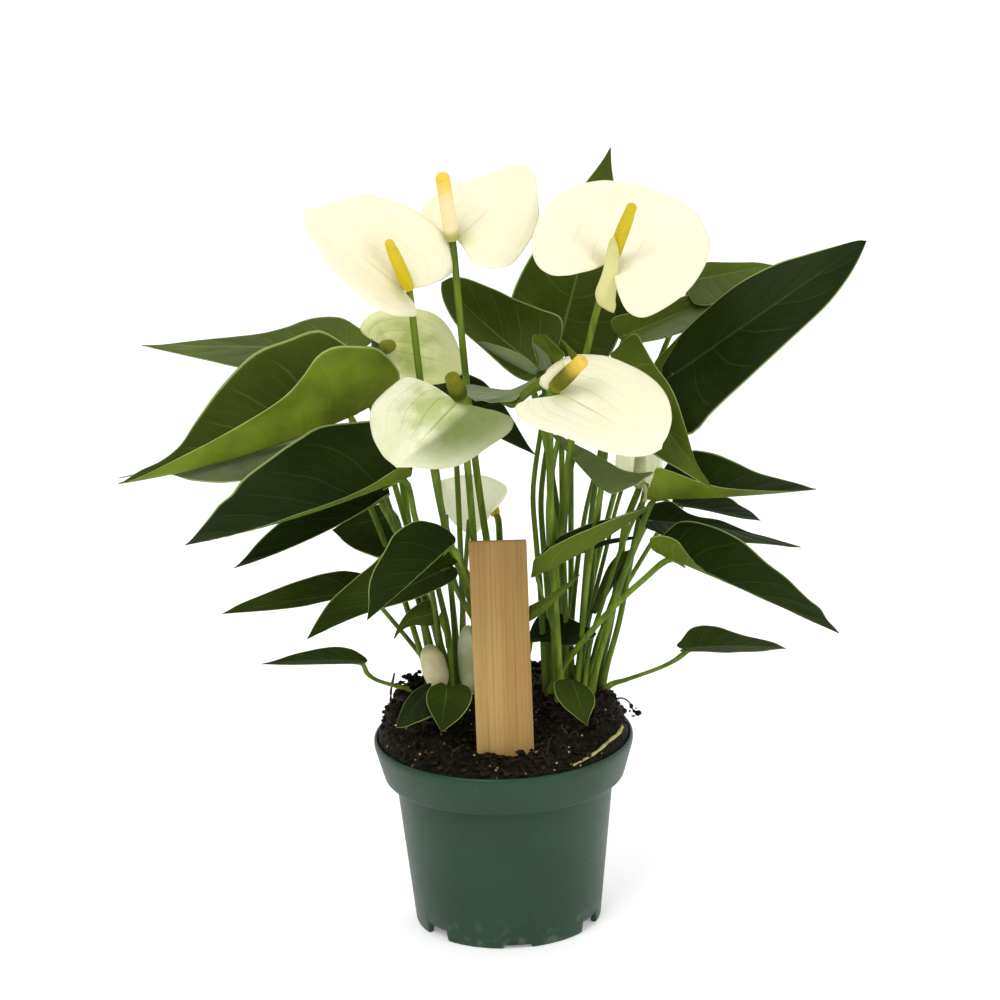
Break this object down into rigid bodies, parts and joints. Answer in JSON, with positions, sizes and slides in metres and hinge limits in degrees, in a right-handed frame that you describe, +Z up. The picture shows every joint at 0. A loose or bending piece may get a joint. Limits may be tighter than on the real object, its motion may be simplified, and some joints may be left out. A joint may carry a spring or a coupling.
{
  "type": "potted anthurium",
  "caption": "Potted flamingo flower with glossy heart-shaped leaves and cream spathes on tall stalks, in a round green grower's pot with a flat wooden stake",
  "frame": {"origin": "On the surface the pot stands on, on the pot's axis, which is within a few millimetres of the middle of the plant's plan.", "axes": "+Z is up; +X is to the right and +Y is away from the viewer, seen from the front, where the stake stands."},
  "size_m": [0.3401, 0.1938, 0.3612],
  "materials": {
    "pot": "dark green moulded plastic, satin, lightly scuffed",
    "soil": "moist dark potting mix with fibres and white grains",
    "stake": "bare pale wood veneer, straight upright grain",
    "leaf": "glossy dark green, paler underneath, thin pale margin",
    "spathe": "waxy cream white, greenish on the older ones",
    "spadix": "matt yellow, finely knobbly",
    "stalk": "smooth green, slightly glossy",
    "bud": "smooth pale green-cream, rolled tight"
  },
  "bodies": {
    "root": {"pot": "pot", "soil": "soil", "stake": "stake", "leaf_01": "leaf", "leaf_02": "leaf", "leaf_03": "leaf", "leaf_04": "leaf", "leaf_05": "leaf", "leaf_06": "leaf", "leaf_07": "leaf", "leaf_08": "leaf", "leaf_09": "leaf", "leaf_10": "leaf", "leaf_11": "leaf", "leaf_12": "leaf", "leaf_13": "leaf", "leaf_14": "leaf", "leaf_15": "leaf", "leaf_16": "leaf", "leaf_17": "leaf", "leaf_18": "leaf", "leaf_19": "leaf", "leaf_20": "leaf", "leaf_21": "leaf", "leaf_22": "leaf", "leaf_23": "leaf", "leaf_24": "leaf", "leaf_25": "leaf", "leaf_26": "leaf", "leaf_27": "leaf", "leaf_28": "leaf", "leaf_29": "leaf", "leaf_30": "leaf", "leaf_31": "leaf", "spathe_a": "spathe", "stalk_a": "stalk", "spadix_a": "spadix", "spathe_b": "spathe", "stalk_b": "stalk", "spadix_b": "spadix", "spathe_c": "spathe", "stalk_c": "stalk", "spadix_c": "spadix", "spathe_d": "spathe", "stalk_d": "stalk", "spadix_d": "spadix", "spathe_e": "spathe", "stalk_e": "stalk", "spadix_e": "spadix", "spathe_f": "spathe", "stalk_f": "stalk", "spadix_f": "spadix", "spathe_g": "spathe", "stalk_g": "stalk", "spathe_h": "spathe", "stalk_h": "stalk", "spadix_h": "spadix", "bud_1": "bud", "bud_2": "bud", "bud_3": "bud"}
  },
  "joints": []
}
